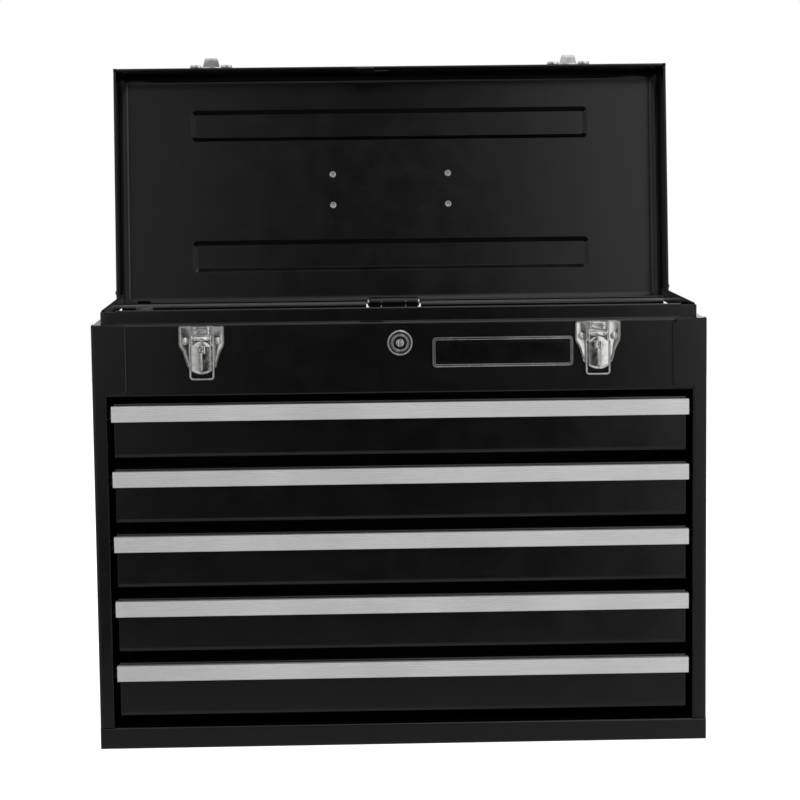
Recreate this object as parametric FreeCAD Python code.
import FreeCAD, Part
import math
import os

# Machinist tool chest: a folded steel cabinet with five drawers, a till on top
# and a lid that stands open.  Millimetres, +Z up.
# The origin is the centre of the flat bottom pan; X runs across the chest and
# the front faces -Y.

V = FreeCAD.Vector
ORIGIN = V(0, 0, 0)
X_AXIS = V(1, 0, 0)
Y_AXIS = V(0, 1, 0)
Z_AXIS = V(0, 0, 1)
TOUCHING = 1e-6               # points nearer than this are one point
OVERCUT = 1.0                 # cutters reach this far past a face

# ---------------------------------------------------------------- cabinet sizes
width = 520.0                 # over the side panels
depth = 220.0                 # post face to back panel
shoulder_height = 364.0       # ledge that the closed lid rests on
sheet = 0.9                   # sheet steel
bend = 1.4                    # centre-line radius of the folds

post_width = 12.0             # front posts beside the drawers
post_return = 12.0            # their inward fold
rail_height = 18.7            # base rail under the drawers
rail_return = 12.0
pan_flange = 15.0
header_height = 61.0          # from the shoulder down to the header's lower edge
header_return = 12.0
tab_width = 29.5              # lap tab of the side panel over the header
tab_drop = 59.0               # from the shoulder down to the tab's lower edge
tab_corner = 5.0
seam = 0.15                   # gap between butting sheets

neck_height = 12.0            # upstand inside the lid
neck_inset_side = 7.5
neck_inset_front = 6.5
neck_corner = 3.0
neck_back_gap = 8.0           # the side necks stop short of the back
corner_return = 13.5          # the front neck wraps round each corner
hem_width = 2.6               # folded safety edges, outside to outside
hem_length = 6.0

back_flange = 12.0
till_thickness = 0.9
till_flange = 13.0

# ---------------------------------------------------------------- drawer sizes
drawer_count = 5
header_clearance = 5.1        # header to the first drawer front
drawer_clearance = 8.0        # one drawer front to the next
rail_clearance = 9.2          # last drawer front to the base rail
side_clearance = 6.0          # drawer front to the post
front_bend = 4.0              # rolled lower edge
front_flange = 10.0
top_flange = 12.0
side_lip = 9.0                # side edges of the front, folded back
side_lip_bottom = 8.0         # gap from the lower edge to the side lips
tray_inset = 2.0              # tray inside the front's edge
tray_back_clearance = 22.1    # tray to the back panel
tray_lift = 4.0               # tray bottom above the front's lower edge
slide_below_top = 9.0         # slide flange under the front's upper edge
slide_width = 7.3
slide_drop = 5.0
tray_kept_inside = 32.0       # tray length still in the cabinet at full travel
stop_ear_width = 8.5
stop_ear_depth = 2.0
stop_gap = 0.3

runner_sheet = 1.2
runner_bend = 1.3
runner_gap = 0.25             # above and below the slide flange
runner_reach = 17.1           # from the side panel inward
runner_back_clearance = 17.5
post_clearance = 0.5          # runner behind the post's fold

pull_height = 13.2
pull_overhang = 2.0           # past each end of the front
pull_below_top = 2.1
pull_depth = 6.5
pull_skin = 1.4
pull_backing = 0.8
pull_grooves = 5
groove_depth = 0.45
groove_width = 1.1
groove_slope = 0.275          # each sloping wall of a groove

# ---------------------------------------------------------------- lid sizes
lid_inset = 2.0               # lid inside each side panel
lid_height = 58.0             # rim to the panel's outside
lid_bend = 9.0                # outside radius of the long bends
lid_gap = 0.3                 # rim above the shoulder when closed
lid_hem_length = 8.0
lid_open = 96.5               # degrees from closed to the open stop
bead_inset = 67.5             # bead's end from the lid's side
bead_width = 32.0
bead_depth = 3.0
bead_bevel = 4.7
bead_corner = 5.5
bead_top_corner = 2.2
bead_back = 47.7              # bead centre from the lid's long edge

# ---------------------------------------------------------------- hinge sizes
hinge_width = 45.6
hinge_centre_knuckle = 22.8
knuckle_radius = 5.0
knuckle_gap = 0.3
hinge_pin_radius = 2.5
running_gap = 0.05            # radial play of every pivot
hinge_sheet = 1.5
hinge_leaf_length = 32.0      # from the pin's centre
hinge_notch_gap = 1.2
hinge_rise = 1.0              # pin above the shoulder
pin_head_radius = 3.6
pin_head_length = 1.3
stop_lug_sheet = 1.5
stop_lug_start = 8.0          # along the open lid leaf, from the pin
stop_lug_end = 13.5
stop_lug_height = 16.0
leaf_rivet_row = 22.0         # rivets from the pin's centre
leaf_rivet_spacing = 30.0
small_rivet_radius = 2.6
small_rivet_head = 1.1
shank_share = 0.5             # rivet shank over rivet head, in radius

# ---------------------------------------------------------------- carry handle
handle_spacing = 110.0        # between the bracket centres
handle_rivet_spacing = 29.4
bracket_length = 41.0
bracket_width = 13.0
bracket_sheet = 1.5
bracket_barrel = 6.0
bracket_corner = 4.5
handle_pivot_height = 8.6
bail_radius = 3.5
bail_reach = 32.0
bail_width = 132.0            # between the arms' centre lines
bail_bend = 8.0
bail_tail = 4.0               # pin end past the bracket
grip_radius = 7.9
grip_length = 102.0
grip_ribs = 6
grip_rib_length = 12.2
grip_rib_rise = 1.4
grip_rib_chamfer = 1.25
handle_hang = lid_open - 90.0  # the handle hangs plumb while the lid leans back

# ---------------------------------------------------------------- latch sizes
latch_inset = 93.0            # latch centre from the cabinet's side
plate_sheet = 1.2
plate_drop = 1.0              # under the shoulder
plate_width = 38.4
plate_full_height = 16.5      # at full width, from the upper edge
plate_waist_width = 30.0
plate_waist_drop = 28.0
plate_foot_width = 26.0
plate_height = 36.0
ear_width = 9.6
ear_height = 15.5
ear_rise = 2.3
ear_corner = 2.0
ear_round = 0.8
tongue_plate_width = 15.0
tongue_plate_height = 8.0
tongue_plate_rise = 2.6
tongue_slot_height = 1.6
tongue_slot_width = 8.0
tongue_bevel = 1.15
rivet_radius = 3.2
rivet_dome = 1.5
rivet_drop = 13.0             # rivet under the plate's upper edge
lever_pivot_drop = 11.0       # lever pivot under the plate's upper edge
lever_pivot_out = 6.9         # lever pivot in front of the header
lever_pin_radius = 1.5
lug_sheet = 1.4
lug_spacing = 9.9             # between the outer faces is lug_spacing + 2 lug_sheet
lug_radius = 2.4
lug_foot_drop = 3.6           # lug's foot under the lever pivot
lever_sheet = 1.3
lever_width = 16.8
lever_length = 29.4
lever_front = 4.5             # lever face in front of its pivot
lever_top = 1.5               # lever face starts below its pivot
lever_round = 14.0            # radius of its lower edge
lever_pad = 6.5
lever_pad_drop = 8.1          # pad's centre under the lever pivot
lever_pad_rise = 0.5
lever_pad_hole = 1.2
lever_rib_width = 1.4
lever_cheek_foot = 1.95       # depth of the cheeks at their lower end
lever_cheek_radius = 3.3
lever_cheek_edge = 2.2        # metal round the loop's hole
loop_wire = 1.0
loop_pivot_drop = 5.5         # loop pivot under the lever pivot
loop_pivot_in = 1.2           # behind the lever pivot, so the closed latch is past centre
loop_length = 28.3
loop_gap = 0.25
loop_foot_bend = 2.4          # centre-line radius of the lower corners
loop_pin_bend = 1.15          # and of the ends hooked into the lever

catch_width = 39.0
catch_height = 17.0
catch_lift = 2.0              # over the lid's rim
catch_ear_rise = 1.9
catch_ear_width = 10.5
hook_base = 16.5
hook_tip = 10.5
hook_reach = 10.5
hook_sheet = 1.5
hook_bed = 9.2                # hook's bed above the rim
hook_lip = 4.6

# ---------------------------------------------------------------- lock sizes
lock_drop = 17.8              # lock centre under the shoulder
bezel_radius = 11.0
bezel_rise = 2.6
bezel_round = 1.3
barrel_radius = 9.5
barrel_length = 13.0
barrel_gap = 0.1
plug_radius = 7.5
plug_proud = 0.3
key_slot_width = 1.7
key_slot_height = 8.0
key_slot_depth = 6.0
nut_radius = 12.6
nut_sides = 6
nut_thickness = 3.0
stud_radius = 4.0
cam_sheet = 1.8
cam_width = 9.0
cam_reach = 16.0
cam_tip_length = 4.5
cam_gap = 0.45                # behind the barrel
cam_nut_radius = 6.0
cam_nut_thickness = 2.6
strike_sheet = 1.2
strike_left = -32.0
strike_right = -2.0
strike_tongue_width = 17.0
strike_inset = 3.8            # tongue behind the lid's front face
strike_gap = 0.2              # tongue to cam
strike_top = 26.0             # fixed end above the rim
strike_joggle = 9.5           # where the tongue steps in, above the rim
strike_foot_below_cam = 2.2
strike_foot = 1.2
strike_slot_margin = 1.5

# ---------------------------------------------------------------- drawer lock
bar_inset = 28.0              # from the cabinet's side
bar_width = 14.0
bar_sheet = 2.0
bar_back_gap = 2.0            # bar in front of the back panel's inner face
bar_bottom = 22.0
bar_top_drop = 0.6            # under the shoulder
bar_travel = 6.0
bar_hook_sheet = 2.0
bar_hook_clear = 1.0          # hook tip over the drawer back when unlocked
bar_arm_clear = 1.5           # hook arm over the drawer back when locked
bar_hook_ahead = 3.0          # hook tip in front of the drawer back
bar_slot_gap = 1.2
guide_drop = 35.0             # under the first and the last drawer front's upper edge
guide_height = 10.0
guide_wall = 3.0
guide_gap = 0.4
spring_wire = 0.8             # radius
spring_radius = 3.2
spring_pitch = 3.4
spring_seat_gap = 0.3
spring_side_gap = 0.6
pusher_sheet = 1.5
pusher_width = 12.0
pusher_gap = 0.3              # over the bar when the lid is closed
pusher_flange = 7.0           # lap on the lid's hem
pusher_notch_gap = 1.5

# ---------------------------------------------------------------- nameplate
nameplate_left = 27.3         # from the lock's centre
nameplate_gap = 1.2           # to the right latch
nameplate_drop = 13.6         # under the shoulder
nameplate_height = 25.5
nameplate_rim = 2.2
nameplate_inner_rim = 1.0
nameplate_step = 1.6
nameplate_base = 0.7
nameplate_rise = 1.6
nameplate_corner = 3.4

side_rivet_radius = 2.4
side_rivet_head = 1.3
side_rivet_drop = 7.0         # under the header's lower edge
side_rivet_inset = 14.0       # from the front and from the back
lid_rivet_forward = 11.5      # corner rivets from the hinge line
lid_rivet_up = 4.5            # above the rim

# ---------------------------------------------------------------- worked-out places
front_y = -depth / 2
back_y = depth / 2
half_width = width / 2
header_bottom = shoulder_height - header_height
lock_height = shoulder_height - lock_drop
plate_top = shoulder_height - plate_drop
nameplate_bottom = shoulder_height - nameplate_drop - nameplate_height
side_rivet_height = header_bottom - side_rivet_drop
bar_x = -half_width + bar_inset
bar_top = shoulder_height - bar_top_drop
top_drawer_top = header_bottom - header_clearance
drawer_stack = top_drawer_top - rail_height - rail_clearance
drawer_pitch = (drawer_stack + drawer_clearance) / drawer_count
front_height = drawer_pitch - drawer_clearance
front_width = width - 2 * (post_width + side_clearance)
tray_width = front_width - 2 * tray_inset
pull_length = front_width + 2 * pull_overhang
lid_width = width - 2 * lid_inset
bead_length = lid_width - 2 * bead_inset
bead_offset = depth / 2 - bead_back
inner_x = half_width - sheet
back_inner_y = back_y - sheet
header_y = front_y + sheet
header_inner_y = header_y + sheet
neck_top = shoulder_height + neck_height
neck_x = half_width - neck_inset_side
neck_y = front_y + neck_inset_front
post_inner_x = half_width - post_width
post_return_y = front_y + post_return
runner_start_y = post_return_y + post_clearance
tray_front_y = front_y + sheet
tray_back_y = back_y - tray_back_clearance
drawer_travel = tray_back_y - tray_front_y - tray_kept_inside
tray_half = tray_width / 2
slide_edge_x = tray_half + slide_width
rim_z = shoulder_height + lid_gap
lid_top = rim_z + lid_height
lid_half = lid_width / 2
hinge_y = back_y + hinge_sheet / 2
hinge_z = shoulder_height + hinge_rise
hinge_point = V(0, hinge_y, hinge_z)
latch_x = half_width - latch_inset
nameplate_width = latch_x - plate_width / 2 - nameplate_gap - nameplate_left
lever_pivot_y = header_y - lever_pivot_out
lever_pivot_z = plate_top - lever_pivot_drop
loop_pivot_y = lever_pivot_y + loop_pivot_in
loop_pivot_z = lever_pivot_z - loop_pivot_drop
bar_y = back_inner_y - bar_back_gap
spring_y = back_inner_y - sheet - spring_side_gap - spring_radius - spring_wire
plate_y = header_y - plate_sheet


# ---------------------------------------------------------------- shape helpers
def block(x_range, y_range, z_range):
    """A box between two values on each axis."""
    lows = [min(r) for r in (x_range, y_range, z_range)]
    sizes = [abs(r[1] - r[0]) for r in (x_range, y_range, z_range)]
    return Part.makeBox(*sizes, V(*lows))


def rod(radius, start, end):
    """A round bar between two points."""
    run = end - start
    return Part.makeCylinder(radius, run.Length, start, run)


def place_uv(u, v, along, station):
    """Put a point of a section on the plane that stands across one axis."""
    if along == "x":
        return V(station, u, v)
    if along == "y":
        return V(u, station, v)
    return V(u, v, station)


def prism(points, along, start, end):
    """Extrude a closed outline of (u, v) points along one axis."""
    corners = [place_uv(u, v, along, start) for u, v in points]
    face = Part.Face(Part.makePolygon(corners + corners[:1]))
    return face.extrude(place_uv(0, 0, along, end) - place_uv(0, 0, along, start))


def unit(start, end):
    """Direction from one (u, v) point to another."""
    du = end[0] - start[0]
    dv = end[1] - start[1]
    length = math.hypot(du, dv)
    return du / length, dv / length


def left_of(direction):
    return -direction[1], direction[0]


def mitred(points, distance):
    """An open line moved sideways, to its left when distance is positive."""
    moved = []
    for i, (u, v) in enumerate(points):
        normals = []
        if i > 0:
            normals.append(left_of(unit(points[i - 1], points[i])))
        if i < len(points) - 1:
            normals.append(left_of(unit(points[i], points[i + 1])))
        nu = sum(n[0] for n in normals) / len(normals)
        nv = sum(n[1] for n in normals) / len(normals)
        scale = distance / (nu * nu + nv * nv)
        moved.append((u + nu * scale, v + nv * scale))
    return moved


def rounded_side(points, radii, offset):
    """Lines and arcs beside a centre line, offset to its left, as (kind, points)."""
    pieces = []
    here = None
    for i, point in enumerate(points):
        last = i == len(points) - 1
        if i == 0 or last:
            ends = (points[i], points[i + 1]) if i == 0 else (points[i - 1], points[i])
            nu, nv = left_of(unit(*ends))
            spot = (point[0] + nu * offset, point[1] + nv * offset)
            if i == 0:
                here = spot
            else:
                pieces.append((here, spot))
            continue
        du, dv = unit(points[i - 1], point)
        eu, ev = unit(point, points[i + 1])
        turn = math.atan2(du * ev - dv * eu, du * eu + dv * ev)
        radius = radii[i - 1]
        setback = radius * math.tan(abs(turn) / 2)
        hand = 1 if turn > 0 else -1
        entry = (point[0] - du * setback, point[1] - dv * setback)
        leave = (point[0] + eu * setback, point[1] + ev * setback)
        centre = (entry[0] - dv * radius * hand, entry[1] + du * radius * hand)
        reach = radius - hand * offset
        ou, ov = unit(centre, point)
        middle = (centre[0] + ou * reach, centre[1] + ov * reach)
        first = (entry[0] - dv * offset, entry[1] + du * offset)
        second = (leave[0] - ev * offset, leave[1] + eu * offset)
        pieces.append((here, first))
        pieces.append((first, middle, second))
        here = second
    return pieces


def folded(points, along, start, end, side=-1, bends=bend, thickness=sheet):
    """Folded sheet: its outer faces follow the points, the metal lies to one side."""
    radii = bends if isinstance(bends, (list, tuple)) else [bends] * (len(points) - 2)
    centre = mitred(points, side * thickness / 2)
    near = rounded_side(centre, radii, thickness / 2)
    far = [tuple(reversed(piece)) for piece in reversed(rounded_side(centre, radii, -thickness / 2))]
    outline = near + [(near[-1][-1], far[0][0])] + far + [(far[-1][-1], near[0][0])]
    edges = []
    for piece in outline:
        spots = [place_uv(u, v, along, start) for u, v in piece]
        if (spots[0] - spots[-1]).Length < TOUCHING:
            continue
        if len(spots) == 2:
            edges.append(Part.makeLine(*spots))
        else:
            edges.append(Part.Arc(*spots).toShape())
    face = Part.Face(Part.Wire(edges))
    return face.extrude(place_uv(0, 0, along, end) - place_uv(0, 0, along, start))


def rounded_rectangle(x_size, y_size, radius, centre):
    """A closed wire round a centre, in the XY plane."""
    wire_points = []
    for sx, sy, turn in ((1, 1, 0), (-1, 1, 90), (-1, -1, 180), (1, -1, 270)):
        cx = centre.x + sx * (x_size / 2 - radius)
        cy = centre.y + sy * (y_size / 2 - radius)
        arc = []
        for step in (0, 45, 90):
            angle = math.radians(turn + step)
            arc.append(V(cx + radius * math.cos(angle), cy + radius * math.sin(angle), centre.z))
        wire_points.append(arc)
    edges = []
    for i, arc in enumerate(wire_points):
        following = wire_points[(i + 1) % len(wire_points)]
        edges.append(Part.Arc(*arc).toShape())
        edges.append(Part.makeLine(arc[-1], following[0]))
    return Part.Wire(edges)


def rounded_plate(x_range, z_range, radius, y_range):
    """A plate that faces the front, with rounded corners."""
    x_size = x_range[1] - x_range[0]
    z_size = z_range[1] - z_range[0]
    wire = rounded_rectangle(x_size, z_size, radius, ORIGIN)
    plate = Part.Face(wire).extrude(V(0, 0, y_range[1] - y_range[0]))
    plate.rotate(ORIGIN, X_AXIS, 90)
    plate.translate(V(sum(x_range) / 2, y_range[1], sum(z_range) / 2))
    return plate


def hexagon(radius, start, end):
    """A six-sided nut blank that faces the front."""
    points = []
    for i in range(nut_sides):
        angle = math.radians(360 / nut_sides * i)
        points.append((start.x + radius * math.cos(angle), start.z + radius * math.sin(angle)))
    return prism(points, "y", start.y, end.y)


def rivet(radius, height, face_point, direction, grip, foot=0):
    """Domed head on a face, a shank back through the sheets and a low foot if asked."""
    shank = radius * shank_share
    ball = (radius * radius + height * height) / (2 * height)
    middle_z = height - ball + math.sqrt(ball * ball - radius * radius / 4)
    edges = [
        Part.makeLine(V(0, 0, -grip - foot), V(0, 0, height)),
        Part.Arc(V(0, 0, height), V(radius / 2, 0, middle_z), V(radius, 0, 0)).toShape(),
        Part.makeLine(V(radius, 0, 0), V(shank, 0, 0)),
        Part.makeLine(V(shank, 0, 0), V(shank, 0, -grip))]
    end = V(shank, 0, -grip)
    if foot > 0:
        edges.append(Part.makeLine(end, V(radius, 0, -grip)))
        edges.append(Part.makeLine(V(radius, 0, -grip), V(shank, 0, -grip - foot)))
        end = V(shank, 0, -grip - foot)
    edges.append(Part.makeLine(end, V(0, 0, -grip - foot)))
    turned = Part.Face(Part.Wire(edges)).revolve(ORIGIN, Z_AXIS, 360)
    turned.Placement = FreeCAD.Placement(face_point, FreeCAD.Rotation(Z_AXIS, direction))
    return turned


def swept_wire(points, bend_radii, radius):
    """A round wire along straight runs joined by tangent arcs, one radius a corner."""
    edges = []
    here = points[0]
    for i, bend_radius in enumerate(bend_radii, 1):
        before = (points[i] - points[i - 1]).normalize()
        after = (points[i + 1] - points[i]).normalize()
        half_turn = before.getAngle(after) / 2
        setback = bend_radius * math.tan(half_turn)
        entry = points[i] - before * setback
        leave = points[i] + after * setback
        inward = (after - before).normalize()
        centre = points[i] + inward * (bend_radius / math.cos(half_turn))
        middle = centre - inward * bend_radius
        edges.append(Part.makeLine(here, entry))
        edges.append(Part.Arc(entry, middle, leave).toShape())
        here = leave
    edges.append(Part.makeLine(here, points[-1]))
    path = Part.Wire(edges)
    start = (points[1] - points[0]).normalize()
    section = Part.Wire(Part.makeCircle(radius, points[0], start))
    return path.makePipeShell([section], True, False)


def joined(shapes):
    """One solid from overlapping or touching pieces."""
    whole = shapes[0]
    if len(shapes) > 1:
        whole = whole.multiFuse(shapes[1:])
    return whole.removeSplitter()


def mirrored(shape):
    """The other hand of a piece, across the middle of the chest."""
    return shape.mirror(ORIGIN, X_AXIS)


# ---------------------------------------------------------------- cabinet
def side_panel():
    """Left side: wall, front post, lap tab, shoulder and neck, folded from one sheet."""
    corner_y = front_y + bend + sheet / 2
    wall = block((-half_width, -inner_x), (corner_y, back_y), (0, shoulder_height - sheet))
    toe = block((-half_width, -inner_x), (header_y, corner_y), (0, rail_height + seam))
    post = folded(
        [(-half_width, corner_y + post_return), (-half_width, front_y),
         (-post_inner_x, front_y), (-post_inner_x, post_return_y)],
        "z", rail_height + seam, header_bottom - seam, side=1)
    tab_bottom = shoulder_height - tab_drop
    lap = folded(
        [(-half_width, corner_y + post_return), (-half_width, front_y),
         (-half_width + tab_width, front_y)],
        "z", header_bottom - seam, shoulder_height, side=1)
    tab_right = -half_width + tab_width
    keep = rounded_plate((-half_width - tab_corner * 2, tab_right), (tab_bottom, shoulder_height),
                         tab_corner, (front_y - sheet, header_y + sheet))
    trim = block((-post_inner_x, tab_right + sheet), (front_y - sheet, header_y),
                 (header_bottom - sheet, shoulder_height + sheet))
    lap = lap.cut(trim.cut(keep))
    shoulder = folded(
        [(-half_width, shoulder_height - neck_inset_side), (-half_width, shoulder_height),
         (-neck_x, shoulder_height)],
        "y", neck_y, back_y, side=-1)
    neck = folded(
        [(-half_width, shoulder_height - neck_inset_side), (-half_width, shoulder_height),
         (-neck_x, shoulder_height), (-neck_x, neck_top), (-neck_x + hem_width, neck_top),
         (-neck_x + hem_width, neck_top - hem_length)],
        "y", neck_y + corner_return, back_y - neck_back_gap, side=-1,
        bends=[bend, bend, (hem_width - sheet) / 2, (hem_width - sheet) / 2])
    front_cap = block((-half_width, -inner_x), (corner_y, neck_y + sheet),
                      (shoulder_height - neck_inset_side, shoulder_height))
    return joined([wall, toe, post, lap, shoulder, neck, front_cap])


def header_panel():
    """Front strip over the drawers, stepped at the shoulder into the neck."""
    face = folded(
        [(front_y + header_return, header_bottom), (header_y, header_bottom),
         (header_y, shoulder_height), (neck_y, shoulder_height)],
        "x", -inner_x + bend, inner_x - bend)
    neck = folded(
        [(header_y + sheet, shoulder_height), (neck_y, shoulder_height), (neck_y, neck_top),
         (neck_y + hem_width, neck_top), (neck_y + hem_width, neck_top - hem_length)],
        "x", -neck_x + corner_return, neck_x - corner_return,
        bends=[bend, (hem_width - sheet) / 2, (hem_width - sheet) / 2])
    wrap = folded(
        [(-neck_x, neck_y + corner_return), (-neck_x, neck_y), (neck_x, neck_y),
         (neck_x, neck_y + corner_return)],
        "z", shoulder_height - sheet, neck_top - bend, side=1, bends=neck_corner)
    lock_hole = rod(barrel_radius + barrel_gap, V(0, front_y, lock_height),
                    V(0, neck_y, lock_height))
    slot_left = strike_left - strike_slot_margin
    slot_right = strike_left + strike_tongue_width + strike_slot_margin
    strike_slot = block((slot_left, slot_right), (header_inner_y, neck_y - seam),
                        (shoulder_height - 2 * sheet, shoulder_height + sheet))
    holes = [lock_hole, strike_slot]
    return joined([face, neck, wrap]).cut(Part.makeCompound(holes))


def bottom_panel():
    """Pan with a front base rail and low flanges inside the other walls."""
    pan = folded(
        [(back_inner_y, pan_flange), (back_inner_y, 0), (front_y, 0), (front_y, rail_height),
         (front_y + rail_return, rail_height)],
        "x", -half_width, half_width)
    for hand in (-1, 1):
        pan = pan.cut(block((hand * inner_x, hand * (half_width + sheet)),
                            (header_y, back_y), (-sheet, rail_height)))
        pan = pan.cut(block((hand * (inner_x - sheet - bend), hand * half_width),
                            (back_y - back_flange - seam, back_y), (sheet, pan_flange)))
        edge = block((hand * inner_x, hand * (inner_x - sheet)),
                     (front_y + rail_return, back_y - back_flange - seam), (0, pan_flange))
        pan = pan.fuse(edge)
    return pan.removeSplitter()


def back_panel():
    """Back sheet between the sides, hemmed at the top and notched for the hinge."""
    sheet_part = folded(
        [(-inner_x, back_y - back_flange), (-inner_x, back_y), (inner_x, back_y),
         (inner_x, back_y - back_flange)],
        "z", sheet, shoulder_height - neck_inset_side)
    hem = folded(
        [(back_y, shoulder_height - neck_inset_side * 2), (back_y, shoulder_height),
         (back_y - hem_width, shoulder_height),
         (back_y - hem_width, shoulder_height - hem_length)],
        "x", -neck_x, neck_x, side=1, bends=(hem_width - sheet) / 2)
    reach = max(pusher_width, bar_width) / 2 + pusher_notch_gap
    bar_notch = block((bar_x - reach, bar_x + reach), (back_y - back_flange, back_y),
                      (shoulder_height - neck_inset_side * 2, shoulder_height + sheet))
    return joined([sheet_part, hem]).cut(Part.makeCompound([hinge_notch(), bar_notch]))


def hinge_notch():
    """Room for the hinge barrel in the sheets beside it."""
    half = hinge_width / 2 + pin_head_length + hinge_notch_gap
    reach = knuckle_radius + hinge_notch_gap
    return block((-half, half), (hinge_y - reach, hinge_y + reach),
                 (hinge_z - reach, hinge_z + reach))


def till_floor():
    """Floor of the top compartment, on the header's fold, with a slot for the lock bar."""
    floor_z = header_bottom + sheet
    plate = block((-inner_x, inner_x), (header_inner_y + bend, back_inner_y),
                  (floor_z, floor_z + till_thickness))
    pieces = [plate]
    for hand in (-1, 1):
        pieces.append(block((hand * inner_x, hand * (inner_x - till_thickness)),
                            (runner_start_y, back_y - back_flange - seam),
                            (floor_z + till_thickness - till_flange, floor_z + till_thickness)))
    floor = joined(pieces)
    slot = block((bar_x - bar_width / 2 - bar_slot_gap, bar_x + bar_width / 2 + bar_slot_gap),
                 (bar_y - bar_sheet - bar_slot_gap, back_y),
                 (floor_z - sheet, floor_z + till_thickness + sheet))
    floor = floor.cut(slot)
    for hand in (-1, 1):
        notch = block((hand * (inner_x - sheet - bend), hand * half_width),
                      (back_y - back_flange - seam, back_y), (0, shoulder_height))
        floor = floor.cut(notch)
    return floor


def drawer_top(index):
    return top_drawer_top - index * drawer_pitch


def slide_top(index):
    return drawer_top(index) - slide_below_top


def runner(index):
    """Left channel that carries one drawer's slide flange, with its stop."""
    top = slide_top(index) + runner_gap + runner_sheet
    bottom = slide_top(index) - slide_drop - runner_gap - runner_sheet
    inner_edge = -inner_x + runner_reach
    channel = folded(
        [(inner_edge, bottom), (-inner_x, bottom), (-inner_x, top), (inner_edge, top)],
        "y", runner_start_y, back_y - runner_back_clearance,
        bends=runner_bend, thickness=runner_sheet)
    ear_front = tray_back_y - stop_ear_depth
    stop_y = ear_front - drawer_travel - stop_gap
    stop = block((-inner_x + runner_sheet / 2, -slide_edge_x - running_gap - stop_gap),
                 (stop_y - stop_ear_depth, stop_y),
                 (bottom + runner_sheet / 2, top - runner_sheet / 2))
    return joined([channel, stop])


def side_rivets():
    """Rivets through each side panel into the till floor's flange."""
    heads = []
    for hand in (-1, 1):
        for y in (runner_start_y + side_rivet_inset, back_y - back_flange - side_rivet_inset):
            spot = V(hand * half_width, y, side_rivet_height)
            heads.append(rivet(side_rivet_radius, side_rivet_head, spot, X_AXIS * hand,
                               sheet + till_thickness))
    return Part.makeCompound(heads)


# ---------------------------------------------------------------- drawers
def drawer_tray(index):
    """Drawer box of spot-welded sheets: floor, two sides with slide flanges, back and stops."""
    top = slide_top(index)
    floor_z = drawer_top(index) - front_height + tray_lift
    flange_edge = top - slide_drop
    outer = tray_half + sheet
    floor = block((-outer, outer), (tray_front_y, tray_back_y), (floor_z - sheet, floor_z))
    wall = folded(
        [(-slide_edge_x, flange_edge), (-slide_edge_x, top), (-tray_half, top),
         (-tray_half, floor_z)],
        "y", tray_front_y, tray_back_y)
    lip_room = block((-outer, -half_width), (front_y, front_y + side_lip + seam),
                     (floor_z, top + sheet))
    wall = wall.cut(lip_room)
    stop = block((-slide_edge_x, -slide_edge_x - stop_ear_width),
                 (tray_back_y - stop_ear_depth, tray_back_y),
                 (flange_edge + runner_gap, top - runner_gap))
    back = block((-tray_half, tray_half), (tray_back_y - sheet, tray_back_y),
                 (floor_z, top - sheet / 2))
    return Part.makeCompound([floor, wall, mirrored(wall), back, stop, mirrored(stop)])


def drawer_front(index):
    """Front panel with a rolled lower edge and a folded upper edge, and its side lips."""
    top = drawer_top(index)
    bottom = top - front_height
    half = front_width / 2
    panel = folded(
        [(front_y + front_flange, bottom), (front_y, bottom), (front_y, top),
         (front_y + top_flange, top)],
        "x", -half, half, bends=[front_bend, bend])
    tray_room = block((-tray_half - sheet, tray_half + sheet), (tray_front_y, tray_back_y),
                      (bottom + tray_lift - sheet, slide_top(index)))
    lip = block((-half, -half + sheet), (header_y, front_y + side_lip),
                (bottom + side_lip_bottom, top - 2 * bend))
    return Part.makeCompound([panel.cut(tray_room), lip, mirrored(lip)])


def drawer_pull(index):
    """Grooved pull strip: a skin held off the front, with finger room behind it."""
    top = drawer_top(index) - pull_below_top
    bottom = top - pull_height
    face = front_y - pull_depth
    outline = [(front_y, top), (face, top)]
    land = (pull_height - pull_grooves * groove_width) / (pull_grooves + 1)
    z = top
    for _ in range(pull_grooves):
        z -= land
        outline.append((face, z))
        outline.append((face + groove_depth, z - groove_slope))
        outline.append((face + groove_depth, z - groove_width + groove_slope))
        z -= groove_width
        outline.append((face, z))
    outline += [
        (face, bottom), (face + pull_skin, bottom), (face + pull_skin, top - pull_skin),
        (front_y - pull_backing, top - pull_skin), (front_y - pull_backing, bottom + pull_skin),
        (front_y, bottom + pull_skin)]
    return prism(outline, "x", -pull_length / 2, pull_length / 2)


# ---------------------------------------------------------------- lid, modelled closed
def bead_solid(y, margin, base_z, height):
    """A long flat-topped bead; margin shrinks it all round."""
    low = rounded_rectangle(bead_length - 2 * margin, bead_width - 2 * margin,
                            bead_corner - margin, V(0, y, base_z))
    high = rounded_rectangle(bead_length - 2 * margin - 2 * bead_bevel,
                             bead_width - 2 * margin - 2 * bead_bevel,
                             bead_top_corner - margin, V(0, y, base_z + height))
    return Part.makeLoft([low, high], True, True)


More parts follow.
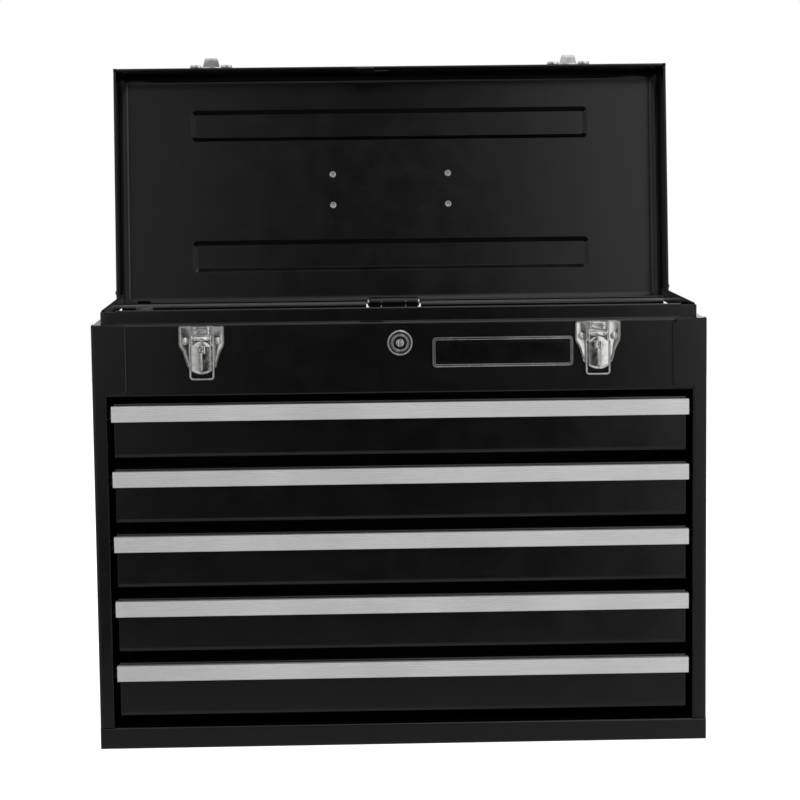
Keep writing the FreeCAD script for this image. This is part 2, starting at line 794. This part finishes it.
def lid_shell():
    """Lid pressed and folded from one sheet: rounded panel edges, hemmed rim, two beads."""
    outer = block((-lid_half, lid_half), (front_y, back_y), (rim_z, lid_top))
    outer = outer.makeFillet(lid_bend, [e for e in outer.Edges if e.BoundBox.ZMin > lid_top - sheet])
    inner_top = lid_top - sheet
    inner = block((-lid_half + sheet, lid_half - sheet), (front_y + sheet, back_y - sheet),
                  (rim_z - sheet, inner_top))
    inner = inner.makeFillet(lid_bend - sheet,
                             [e for e in inner.Edges if e.BoundBox.ZMin > inner_top - sheet])
    beads_out = []
    beads_in = []
    for y in (-bead_offset, bead_offset):
        beads_out.append(bead_solid(y, -sheet / 2, lid_top - sheet / 2, bead_depth + sheet / 2))
        beads_in.append(bead_solid(y, sheet / 2, lid_top - sheet - sheet / 2, bead_depth + sheet / 2))
    shell = outer.multiFuse(beads_out).cut(inner).cut(Part.makeCompound(beads_in))
    hem_edge = (hem_width - sheet) / 2
    corner = hem_width + seam
    runs = (
        ("x", -lid_half + corner, lid_half - corner, front_y, 1),
        ("x", -lid_half + corner, lid_half - corner, back_y, -1),
        ("y", front_y + corner, back_y - corner, -lid_half, 1),
        ("y", front_y + corner, back_y - corner, lid_half, -1))
    trims = []
    hems = []
    for along, start, end, face, inward in runs:
        hems.append(folded(
            [(face, rim_z + lid_hem_length), (face, rim_z), (face + inward * hem_width, rim_z),
             (face + inward * hem_width, rim_z + lid_hem_length)],
            along, start, end, side=inward, bends=hem_edge))
        low = place_uv(face - inward * OVERCUT, rim_z - OVERCUT, along, start)
        high = place_uv(face + inward * hem_width, rim_z + hem_width, along, end)
        trims.append(block((low.x, high.x), (low.y, high.y), (low.z, high.z)))
    shell = shell.cut(Part.makeCompound(trims))
    shell = joined([shell] + hems)
    return shell.cut(hinge_notch())


def catch(x):
    """Lid catch: plate with two raised ears and an upturned hook in the middle."""
    low = rim_z + catch_lift
    top = low + catch_height
    half = catch_width / 2
    plate = rounded_plate((x - half, x + half), (low, top), ear_corner,
                          (front_y - plate_sheet, front_y))
    pieces = [plate]
    for hand in (-1, 1):
        inner = x + hand * (half - catch_ear_width)
        outer = x + hand * (half - plate_sheet / 2)
        pieces.append(rounded_plate(sorted((inner, outer)), (low + plate_sheet, top - plate_sheet),
                                    ear_corner, (front_y - plate_sheet - catch_ear_rise, front_y)))
    bed = rim_z + hook_bed
    tip_y = front_y - hook_reach
    taper = [(x - hook_base / 2, front_y), (x + hook_base / 2, front_y),
             (x + hook_tip / 2, tip_y + hook_lip), (x + hook_tip / 2, tip_y),
             (x - hook_tip / 2, tip_y), (x - hook_tip / 2, tip_y + hook_lip)]
    plan = prism(taper, "z", bed - hook_sheet * 2, bed + hook_lip + hook_sheet)
    section = folded(
        [(front_y - plate_sheet / 2, bed - hook_sheet), (tip_y, bed - hook_sheet),
         (tip_y, bed + hook_lip)],
        "x", x - hook_base, x + hook_base, thickness=hook_sheet)
    pieces.append(section.common(plan))
    return joined(pieces)


def strike_plan():
    """Places of the lock strike's tongue, shared with the cam."""
    outer = front_y + strike_inset
    return outer, outer + strike_sheet


def lid_lock_hook():
    """Strike inside the lid's front wall; its tongue drops through the shoulder slot."""
    outer, inner = strike_plan()
    wall = front_y + sheet
    foot_z = lock_height - cam_width / 2 - strike_foot_below_cam
    strip = folded(
        [(wall, rim_z + strike_top), (wall, rim_z + strike_joggle + strike_inset),
         (outer, rim_z + strike_joggle), (outer, foot_z - strike_sheet),
         (inner + strike_foot, foot_z - strike_sheet)],
        "x", strike_left, strike_right, side=1, thickness=strike_sheet)
    away = block((strike_left + strike_tongue_width, strike_right + sheet),
                 (front_y, inner + strike_foot + sheet), (foot_z - 2 * strike_sheet, rim_z))
    return strip.cut(away)


def lid_rivets():
    """Rivets at the lid's rear corners and through the strike."""
    parts = []
    for hand in (-1, 1):
        spot = V(hand * lid_half, back_y - lid_rivet_forward, rim_z + lid_rivet_up)
        parts.append(rivet(small_rivet_radius, small_rivet_head, spot, X_AXIS * hand, sheet))
    outer, inner = strike_plan()
    middle = (strike_left + strike_right) / 2
    for hand in (-1, 1):
        spot = V(middle + hand * (strike_right - strike_left) / 4, front_y,
                 rim_z + (strike_top + strike_joggle + strike_inset) / 2)
        parts.append(rivet(small_rivet_radius, small_rivet_head, spot, -Y_AXIS,
                           sheet + strike_sheet))
    return Part.makeCompound(parts)


def handle_axis_z():
    return lid_top + handle_pivot_height


def handle_bracket(x):
    """Stamped bracket with a barrel for the handle's pin end."""
    base = block((x - bracket_width / 2, x + bracket_width / 2),
                 (-bracket_length / 2, bracket_length / 2), (lid_top, lid_top + bracket_sheet))
    upright = [e for e in base.Edges if e.BoundBox.ZLength > bracket_sheet / 2]
    base = base.makeFillet(bracket_corner, upright)
    saddle = prism(
        [(-bracket_barrel - bracket_sheet * 2, lid_top), (bracket_barrel + bracket_sheet * 2, lid_top),
         (bracket_barrel, handle_axis_z()), (-bracket_barrel, handle_axis_z())],
        "x", x - bracket_width / 2, x + bracket_width / 2)
    barrel = rod(bracket_barrel, V(x - bracket_width / 2, 0, handle_axis_z()),
                 V(x + bracket_width / 2, 0, handle_axis_z()))
    bore = rod(bail_radius + running_gap, V(x - bracket_width, 0, handle_axis_z()),
               V(x + bracket_width, 0, handle_axis_z()))
    return joined([base, saddle, barrel]).cut(bore)


def handle_rivets():
    """Rivets through brackets and panel, domed outside, set flat inside."""
    parts = []
    for x in (-handle_spacing / 2, handle_spacing / 2):
        for y in (-handle_rivet_spacing / 2, handle_rivet_spacing / 2):
            top = V(x, y, lid_top + bracket_sheet)
            parts.append(rivet(small_rivet_radius, small_rivet_head, top, Z_AXIS,
                               bracket_sheet + sheet, small_rivet_head))
    return Part.makeCompound(parts)


def handle_frame():
    """Corner points of the handle's rod, lying flat towards the hinge."""
    z = handle_axis_z()
    arm_x = bail_width / 2
    pin_x = handle_spacing / 2 - bracket_width / 2 - bail_tail
    return [V(-pin_x, 0, z), V(-arm_x, 0, z), V(-arm_x, bail_reach, z),
            V(arm_x, bail_reach, z), V(arm_x, 0, z), V(pin_x, 0, z)]


def hang(shape):
    """Swing a handle piece from flat to the way it hangs on the open lid."""
    shape.rotate(V(0, 0, handle_axis_z()), X_AXIS, handle_hang)
    return shape


def handle_bail():
    """Bent steel rod of the carry handle."""
    return hang(swept_wire(handle_frame(), [bail_bend] * 4, bail_radius))


def handle_grip():
    """Moulded grip sleeve with finger ribs, on the rod's cross run."""
    z = handle_axis_z()
    start = V(-grip_length / 2, bail_reach, z)
    end = V(grip_length / 2, bail_reach, z)
    pieces = [rod(grip_radius - grip_rib_rise, start, end)]
    pitch = grip_length / grip_ribs
    for i in range(grip_ribs):
        low = -grip_length / 2 + pitch * i + (pitch - grip_rib_length) / 2
        rib = rod(grip_radius, V(low, bail_reach, z), V(low + grip_rib_length, bail_reach, z))
        ends = [e for e in rib.Edges if len(e.Vertexes) == 1]
        pieces.append(rib.makeChamfer(grip_rib_chamfer, ends))
    bore = rod(bail_radius, start - X_AXIS * OVERCUT, end + X_AXIS * OVERCUT)
    return hang(joined(pieces).cut(bore))


def lock_bar_pusher():
    """Tab on the lid's rear hem that presses the lock bar down."""
    hem_face = back_y - hem_width
    foot = bar_top - bar_travel + pusher_gap
    tab = block((bar_x - pusher_width / 2, bar_x + pusher_width / 2),
                (hem_face - pusher_sheet, hem_face), (foot, rim_z + pusher_flange))
    corners = [e for e in tab.Edges if e.BoundBox.YLength > pusher_sheet / 2]
    return tab.makeFillet(pusher_sheet, corners)


# ---------------------------------------------------------------- hinge
def knuckle_ends(centre_piece):
    """X ranges of the lid's knuckle or of the body's two knuckles."""
    half = hinge_width / 2
    middle = hinge_centre_knuckle / 2
    if centre_piece:
        return [(-middle + knuckle_gap / 2, middle - knuckle_gap / 2)]
    return [(-half, -middle - knuckle_gap / 2), (middle + knuckle_gap / 2, half)]


def hinge_leaf(up, centre_piece, bore):
    """One leaf on the outside of its sheet, rolled into knuckles round the pin."""
    half = hinge_width / 2
    away = knuckle_radius + hinge_notch_gap
    far = hinge_z + up * hinge_leaf_length
    near = hinge_z + up * away
    plate = block((-half, half), (back_y, back_y + hinge_sheet), (near, far))
    pieces = [plate]
    bores = []
    for low, high in knuckle_ends(centre_piece):
        pieces.append(rod(knuckle_radius, V(low, hinge_y, hinge_z), V(high, hinge_y, hinge_z)))
        pieces.append(block((low, high), (back_y, back_y + hinge_sheet), (hinge_z, near)))
        bores.append(rod(bore, V(low - OVERCUT, hinge_y, hinge_z),
                         V(high + OVERCUT, hinge_y, hinge_z)))
    return joined(pieces).cut(Part.makeCompound(bores))


def open_leaf_point(along, under):
    """(y, z) of a point beside the lid leaf once the lid is open."""
    angle = math.radians(lid_open)
    y = hinge_y + along * math.sin(angle) + under * math.cos(angle)
    z = hinge_z + along * math.cos(angle) - under * math.sin(angle)
    return y, z


def hinge_body_leaf():
    """Leaf on the back panel, with two lugs that the open lid leaf rests on."""
    leaf = hinge_leaf(-1, False, hinge_pin_radius)
    under = hinge_sheet / 2 + stop_gap
    near = open_leaf_point(stop_lug_start, under)
    far = open_leaf_point(stop_lug_end, under)
    root = back_y + hinge_sheet / 2
    outline = [(root, near[1] - stop_lug_height), (root, hinge_z - knuckle_radius - hinge_notch_gap),
               near, far]
    half = hinge_width / 2
    lugs = [prism(outline, "x", -half, -half + stop_lug_sheet),
            prism(outline, "x", half - stop_lug_sheet, half)]
    return joined([leaf] + lugs)


def hinge_lid_leaf():
    return hinge_leaf(1, True, hinge_pin_radius + running_gap)


def hinge_pin():
    """Headed pin through all three knuckles."""
    half = hinge_width / 2
    pin = rod(hinge_pin_radius, V(-half, hinge_y, hinge_z), V(half, hinge_y, hinge_z))
    heads = []
    for hand in (-1, 1):
        start = V(hand * half, hinge_y, hinge_z)
        heads.append(rod(pin_head_radius, start, start + X_AXIS * hand * pin_head_length))
    return joined([pin] + heads)


def leaf_rivets(up):
    """Rivets that hold one leaf to its sheet."""
    parts = []
    for x in (-leaf_rivet_spacing / 2, leaf_rivet_spacing / 2):
        spot = V(x, back_y + hinge_sheet, hinge_z + up * leaf_rivet_row)
        parts.append(rivet(small_rivet_radius, small_rivet_head, spot, Y_AXIS, hinge_sheet + sheet))
    return Part.makeCompound(parts)


# ---------------------------------------------------------------- latches
def latch_base(x):
    """Pressed base plate: tapered outline, two raised ears, slotted tongue and pin lugs."""
    outline = [
        (x - plate_width / 2, plate_top), (x + plate_width / 2, plate_top),
        (x + plate_width / 2, plate_top - plate_full_height),
        (x + plate_waist_width / 2, plate_top - plate_waist_drop),
        (x + plate_foot_width / 2, plate_top - plate_height),
        (x - plate_foot_width / 2, plate_top - plate_height),
        (x - plate_waist_width / 2, plate_top - plate_waist_drop),
        (x - plate_width / 2, plate_top - plate_full_height)]
    plate = prism(outline, "y", header_y, plate_y)
    upright = [e for e in plate.Edges if e.BoundBox.YLength > plate_sheet / 2]
    plate = plate.makeFillet(ear_corner, upright)
    pieces = [plate]
    for hand in (-1, 1):
        outer = x + hand * (plate_width / 2 - plate_sheet / 2)
        inner = outer - hand * ear_width
        ear = rounded_plate(sorted((inner, outer)),
                            (plate_top - plate_sheet - ear_height, plate_top - plate_sheet / 2),
                            ear_corner, (header_y - plate_sheet - ear_rise, header_y))
        front_edges = [e for e in ear.Edges if e.BoundBox.YMax < plate_y - ear_rise + plate_sheet / 2]
        pieces.append(ear.makeFillet(ear_round, front_edges))
        lug_in = x + hand * lug_spacing / 2
        lug_out = lug_in + hand * lug_sheet
        lug_foot = prism(
            [(plate_y + plate_sheet / 2, lever_pivot_z - lug_foot_drop),
             (plate_y + plate_sheet / 2, lever_pivot_z + lug_radius),
             (lever_pivot_y, lever_pivot_z + lug_radius), (lever_pivot_y, lever_pivot_z - lug_radius)],
            "x", lug_in, lug_out)
        lug_eye = rod(lug_radius, V(lug_in, lever_pivot_y, lever_pivot_z),
                      V(lug_out, lever_pivot_y, lever_pivot_z))
        pieces += [lug_foot, lug_eye]
    half = tongue_plate_width / 2
    top = plate_top - plate_sheet
    tongue = block((x - half, x + half), (plate_y - tongue_plate_rise, plate_y),
                   (top - tongue_plate_height, top))
    ridge = [e for e in tongue.Edges
             if e.BoundBox.XLength > half and e.BoundBox.YMax < plate_y - plate_sheet]
    tongue = tongue.makeChamfer(tongue_bevel, ridge)
    slot_z = top - tongue_plate_height / 2
    slot = block((x - tongue_slot_width / 2, x + tongue_slot_width / 2),
                 (plate_y - tongue_plate_rise - sheet, plate_y - plate_sheet / 2),
                 (slot_z - tongue_slot_height / 2, slot_z + tongue_slot_height / 2))
    pieces.append(tongue.cut(slot))
    bore = rod(lever_pin_radius, V(x - plate_width, lever_pivot_y, lever_pivot_z),
               V(x + plate_width, lever_pivot_y, lever_pivot_z))
    return joined(pieces).cut(bore)


def rivet_place(x, hand):
    """Centre of a latch rivet on its raised ear."""
    off = plate_width / 2 - plate_sheet / 2 - ear_width / 2
    return V(x + hand * off, plate_y - ear_rise, plate_top - rivet_drop)


def latch_rivets():
    parts = []
    for x in (-latch_x, latch_x):
        for hand in (-1, 1):
            parts.append(rivet(rivet_radius, rivet_dome, rivet_place(x, hand), -Y_AXIS,
                               ear_rise + plate_sheet + sheet))
    return Part.makeCompound(parts)


def catch_rivets():
    parts = []
    for x in (-latch_x, latch_x):
        for hand in (-1, 1):
            off = catch_width / 2 - catch_ear_width / 2 - plate_sheet / 4
            spot = V(x + hand * off, front_y - plate_sheet - catch_ear_rise,
                     rim_z + catch_lift + catch_height / 2)
            parts.append(rivet(small_rivet_radius, small_rivet_head, spot, -Y_AXIS,
                               catch_ear_rise + plate_sheet + sheet))
    return Part.makeCompound(parts)


def lever_pins():
    half = lever_width / 2
    pins = []
    for x in (-latch_x, latch_x):
        pins.append(rod(lever_pin_radius, V(x - half, lever_pivot_y, lever_pivot_z),
                        V(x + half, lever_pivot_y, lever_pivot_z)))
    return Part.makeCompound(pins)


def latch_lever(x):
    """Channel-shaped lever: face with a pad and a rib, two cheeks on the pin."""
    half = lever_width / 2
    face_y = lever_pivot_y - lever_front
    top = lever_pivot_z - lever_top
    bottom = lever_pivot_z - lever_length
    sheet_part = block((x - half, x + half), (face_y, face_y + lever_sheet), (bottom, top))
    disc = rod(lever_round, V(x, face_y - OVERCUT, bottom + lever_round),
               V(x, face_y + lever_front * 2, bottom + lever_round))
    below = block((x - lever_width, x + lever_width), (face_y - OVERCUT, face_y + lever_front * 2),
                  (bottom - OVERCUT, bottom + lever_round / 2))
    trim = below.cut(disc)
    pieces = [sheet_part]
    cheek_low = bottom + lever_sheet * 2
    for hand in (-1, 1):
        outer = x + hand * half
        inner = outer - hand * lever_sheet
        cheek = prism(
            [(face_y, cheek_low), (face_y + lever_cheek_foot, cheek_low),
             (loop_pivot_y + lever_cheek_edge, loop_pivot_z - lever_cheek_edge),
             (loop_pivot_y + lever_cheek_edge, loop_pivot_z),
             (lever_pivot_y + lever_cheek_radius, lever_pivot_z),
             (lever_pivot_y, lever_pivot_z), (face_y, top)],
            "x", inner, outer)
        eye = rod(lever_cheek_radius, V(inner, lever_pivot_y, lever_pivot_z),
                  V(outer, lever_pivot_y, lever_pivot_z))
        pieces += [cheek, eye]
    pad_z = lever_pivot_z - lever_pad_drop
    pad_half = lever_pad / 2
    pieces.append(block((x - pad_half, x + pad_half), (face_y - lever_pad_rise, face_y + lever_sheet),
                        (pad_z - pad_half, pad_z + pad_half)))
    pieces.append(block((x - lever_rib_width / 2, x + lever_rib_width / 2),
                        (face_y - lever_pad_rise, face_y + lever_sheet),
                        (cheek_low, pad_z - pad_half)))
    lever = joined(pieces).cut(trim)
    bores = [
        rod(lever_pin_radius + running_gap, V(x - lever_width, lever_pivot_y, lever_pivot_z),
            V(x + lever_width, lever_pivot_y, lever_pivot_z)),
        rod(loop_wire + running_gap, V(x - lever_width, loop_pivot_y, loop_pivot_z),
            V(x + lever_width, loop_pivot_y, loop_pivot_z)),
        rod(lever_pad_hole, V(x, face_y - OVERCUT, pad_z), V(x, face_y + lever_sheet / 2, pad_z))]
    return lever.cut(Part.makeCompound(bores))


def latch_loop(x):
    """Wire loop, hooked into the lever's cheeks and hanging round it."""
    arm = lever_width / 2 + loop_gap + loop_wire
    tail = lever_width / 2 - lever_sheet
    low = loop_pivot_z - loop_length
    return swept_wire(
        [V(x - tail, loop_pivot_y, loop_pivot_z), V(x - arm, loop_pivot_y, loop_pivot_z),
         V(x - arm, loop_pivot_y, low), V(x + arm, loop_pivot_y, low),
         V(x + arm, loop_pivot_y, loop_pivot_z), V(x + tail, loop_pivot_y, loop_pivot_z)],
        [loop_pin_bend, loop_foot_bend, loop_foot_bend, loop_pin_bend], loop_wire)


# ---------------------------------------------------------------- lock
def lock_point(y):
    return V(0, y, lock_height)


def lock_housing():
    """Barrel through the header with a round bezel in front."""
    bezel_face = header_y - bezel_rise
    bezel = rod(bezel_radius, lock_point(bezel_face), lock_point(header_y))
    edge = [e for e in bezel.Edges if len(e.Vertexes) == 1 and e.BoundBox.YMax < header_y - sheet]
    bezel = bezel.makeFillet(bezel_round, edge)
    barrel = rod(barrel_radius, lock_point(header_y), lock_point(header_y + barrel_length))
    bore = rod(plug_radius + running_gap, lock_point(bezel_face - OVERCUT),
               lock_point(header_y + barrel_length + OVERCUT))
    return joined([bezel, barrel]).cut(bore)


def lock_nut():
    """Flat hexagon nut that clamps the housing to the header."""
    nut = hexagon(nut_radius, lock_point(header_inner_y), lock_point(header_inner_y + nut_thickness))
    return nut.cut(rod(barrel_radius, lock_point(header_y), lock_point(neck_y + nut_radius)))


def cam_planes():
    """Y range of the cam's tip, just behind the strike's tongue."""
    tip_front = strike_plan()[1] + strike_gap
    return tip_front, tip_front + cam_sheet


def cam_back_y():
    return header_y + barrel_length + cam_gap


def lock_plug():
    """Turning plug with a key slot, stepped down to a stud for the cam."""
    face = header_y - bezel_rise - plug_proud
    rear = header_y + barrel_length
    core = rod(plug_radius, lock_point(face), lock_point(rear))
    stud = rod(stud_radius, lock_point(rear), lock_point(cam_back_y() + cam_sheet + cam_nut_thickness))
    slot = block((-key_slot_width / 2, key_slot_width / 2), (face - OVERCUT, face + key_slot_depth),
                 (lock_height - key_slot_height / 2, lock_height + key_slot_height / 2))
    return joined([core, stud]).cut(slot)


def lock_cam():
    """Cranked cam: flat arm on the stud, leg forward past the nut, short catching tip."""
    tip_front, tip_back = cam_planes()
    arm_front = cam_back_y()
    half = cam_width / 2
    leg_low = cam_reach - cam_tip_length
    leg_high = leg_low + cam_sheet
    arm = block((-half, half), (arm_front, arm_front + cam_sheet),
                (lock_height, lock_height + leg_high))
    eye = rod(half + cam_sheet, lock_point(arm_front), lock_point(arm_front + cam_sheet))
    leg = block((-half, half), (tip_front, arm_front + cam_sheet),
                (lock_height + leg_low, lock_height + leg_high))
    tip = block((-half, half), (tip_front, tip_back), (lock_height + leg_low, lock_height + cam_reach))
    hole = rod(stud_radius, lock_point(tip_front), lock_point(arm_front + 2 * cam_sheet))
    return joined([arm, eye, leg, tip]).cut(hole)


def lock_cam_nut():
    start = cam_back_y() + cam_sheet
    nut = hexagon(cam_nut_radius, lock_point(start), lock_point(start + cam_nut_thickness))
    return nut.cut(rod(stud_radius, lock_point(start - OVERCUT),
                       lock_point(start + cam_nut_thickness + OVERCUT)))


# ---------------------------------------------------------------- drawer lock
def drawer_lock_bar():
    """Upright bar behind the drawers with one hook over each drawer's back."""
    x_range = (bar_x - bar_width / 2, bar_x + bar_width / 2)
    foot_y = spring_y - spring_radius - spring_wire
    pieces = [block(x_range, (bar_y - bar_sheet, bar_y), (bar_bottom, bar_top)),
              block(x_range, (foot_y, bar_y), (bar_bottom, bar_bottom + bar_sheet))]
    tip_front = tray_back_y - sheet - bar_hook_ahead - bar_hook_sheet
    for index in range(drawer_count):
        wall_top = slide_top(index) - sheet / 2
        tip_low = wall_top + bar_hook_clear
        arm_low = wall_top + bar_travel + bar_arm_clear
        arm_high = arm_low + bar_hook_sheet
        pieces.append(block(x_range, (tip_front, bar_y), (arm_low, arm_high)))
        pieces.append(block(x_range, (tip_front, tip_front + bar_hook_sheet), (tip_low, arm_high)))
    return joined(pieces)


def lock_bar_guides():
    """Two folded guides on the back panel that the bar slides through."""
    half = bar_width / 2
    guides = []
    for index in (0, drawer_count - 1):
        z = drawer_top(index) - guide_drop
        body = block((bar_x - half - guide_wall, bar_x + half + guide_wall),
                     (bar_y - bar_sheet - guide_gap - guide_wall, back_inner_y), (z, z + guide_height))
        slot = block((bar_x - half - guide_gap, bar_x + half + guide_gap),
                     (bar_y - bar_sheet - guide_gap, bar_y + guide_gap),
                     (z - OVERCUT, z + guide_height + OVERCUT))
        guides.append(body.cut(slot))
    return Part.makeCompound(guides)


def lock_bar_spring():
    """Compression spring between the pan and the bar's lower end."""
    low = sheet + spring_wire + spring_seat_gap
    high = bar_bottom - spring_wire - spring_seat_gap
    helix = Part.makeHelix(spring_pitch, high - low, spring_radius)
    profile = Part.Wire(Part.makeCircle(spring_wire, V(spring_radius, 0, 0), Y_AXIS))
    coil = Part.Wire(helix.Edges).makePipeShell([profile], True, True)
    coil.translate(V(bar_x, spring_y, low))
    return coil


# ---------------------------------------------------------------- nameplate
def nameplate():
    """Bare plate frame: two raised rims round an empty field."""
    x_range = (nameplate_left, nameplate_left + nameplate_width)
    z_range = (nameplate_bottom, nameplate_bottom + nameplate_height)

    def inset(gap, y_back, rise):
        return rounded_plate((x_range[0] + gap, x_range[1] - gap), (z_range[0] + gap, z_range[1] - gap),
                             max(nameplate_corner - gap, nameplate_base), (header_y - rise, y_back))

    outer_rim = inset(0, header_y, nameplate_rise)
    hollow = inset(nameplate_rim, header_y - nameplate_base, nameplate_rise + OVERCUT)
    inner_gap = nameplate_rim + nameplate_step
    inner_rim = inset(inner_gap, header_y - nameplate_base, nameplate_rise)
    field = inset(inner_gap + nameplate_inner_rim, header_y, nameplate_rise + OVERCUT)
    return joined([outer_rim.cut(hollow), inner_rim]).cut(field)


def nameplate_field():
    """Plain panel in the nameplate."""
    gap = nameplate_rim + nameplate_step + nameplate_inner_rim
    return rounded_plate(
        (nameplate_left + gap, nameplate_left + nameplate_width - gap),
        (nameplate_bottom + gap, nameplate_bottom + nameplate_height - gap),
        max(nameplate_corner - gap, nameplate_base), (header_y - nameplate_base, header_y))


# ---------------------------------------------------------------- assemble and export
def opened(shape):
    """Swing a lid piece from closed to the open stop."""
    shape.rotate(hinge_point, X_AXIS, -lid_open)
    return shape


nodes = {}
nodes["side_panel_left"] = side_panel()
nodes["side_panel_right"] = mirrored(nodes["side_panel_left"])
nodes["header_panel"] = header_panel()
nodes["bottom_panel"] = bottom_panel()
nodes["back_panel"] = back_panel()
nodes["till_floor"] = till_floor()
left_runners = Part.makeCompound([runner(i) for i in range(drawer_count)])
nodes["drawer_runners_left"] = left_runners
nodes["drawer_runners_right"] = mirrored(left_runners)
nodes["side_rivets"] = side_rivets()
nodes["nameplate"] = nameplate()
nodes["nameplate_field"] = nameplate_field()
nodes["latch_base_left"] = latch_base(-latch_x)
nodes["latch_base_right"] = latch_base(latch_x)
nodes["latch_rivets"] = latch_rivets()
nodes["latch_lever_pins"] = lever_pins()
nodes["latch_lever_left"] = latch_lever(-latch_x)
nodes["latch_lever_right"] = latch_lever(latch_x)
nodes["latch_loop_left"] = latch_loop(-latch_x)
nodes["latch_loop_right"] = latch_loop(latch_x)
nodes["lock_housing"] = lock_housing()
nodes["lock_nut"] = lock_nut()
nodes["lock_plug"] = lock_plug()
nodes["lock_cam"] = lock_cam()
nodes["lock_cam_nut"] = lock_cam_nut()
nodes["hinge_body_leaf"] = hinge_body_leaf()
nodes["hinge_body_rivets"] = leaf_rivets(-1)
nodes["hinge_pin"] = hinge_pin()
nodes["drawer_lock_bar"] = drawer_lock_bar()
nodes["lock_bar_guides"] = lock_bar_guides()
nodes["lock_bar_spring"] = lock_bar_spring()
for number in range(drawer_count):
    name = "drawer_%d" % (number + 1)
    nodes[name + "_tray"] = drawer_tray(number)
    nodes[name + "_front"] = drawer_front(number)
    nodes[name + "_pull"] = drawer_pull(number)
lid_parts = {
    "lid_shell": lid_shell(),
    "lid_catch_left": catch(-latch_x),
    "lid_catch_right": catch(latch_x),
    "catch_rivets": catch_rivets(),
    "lid_lock_hook": lid_lock_hook(),
    "lid_rivets": lid_rivets(),
    "handle_bracket_left": handle_bracket(-handle_spacing / 2),
    "handle_bracket_right": handle_bracket(handle_spacing / 2),
    "handle_rivets": handle_rivets(),
    "handle_bail": handle_bail(),
    "handle_grip": handle_grip(),
    "lock_bar_pusher": lock_bar_pusher(),
    "hinge_lid_leaf": hinge_lid_leaf(),
    "hinge_lid_rivets": leaf_rivets(1),
}
for name, shape in lid_parts.items():
    nodes[name] = opened(shape)

pierced = {
    "side_rivets": ("side_panel_left", "side_panel_right", "till_floor"),
    "latch_rivets": ("header_panel", "latch_base_left", "latch_base_right"),
    "hinge_body_rivets": ("back_panel", "hinge_body_leaf"),
    "hinge_lid_rivets": ("lid_shell", "hinge_lid_leaf"),
    "catch_rivets": ("lid_shell", "lid_catch_left", "lid_catch_right"),
    "lid_rivets": ("lid_shell", "lid_lock_hook"),
    "handle_rivets": ("lid_shell", "handle_bracket_left", "handle_bracket_right"),
}
for rivet_node, sheets in pierced.items():
    for name in sheets:
        nodes[name] = nodes[name].cut(nodes[rivet_node])

os.makedirs("parts", exist_ok=True)
for name, shape in nodes.items():
    shape.exportStep("parts/" + name + ".step")
print(len(nodes), "nodes")
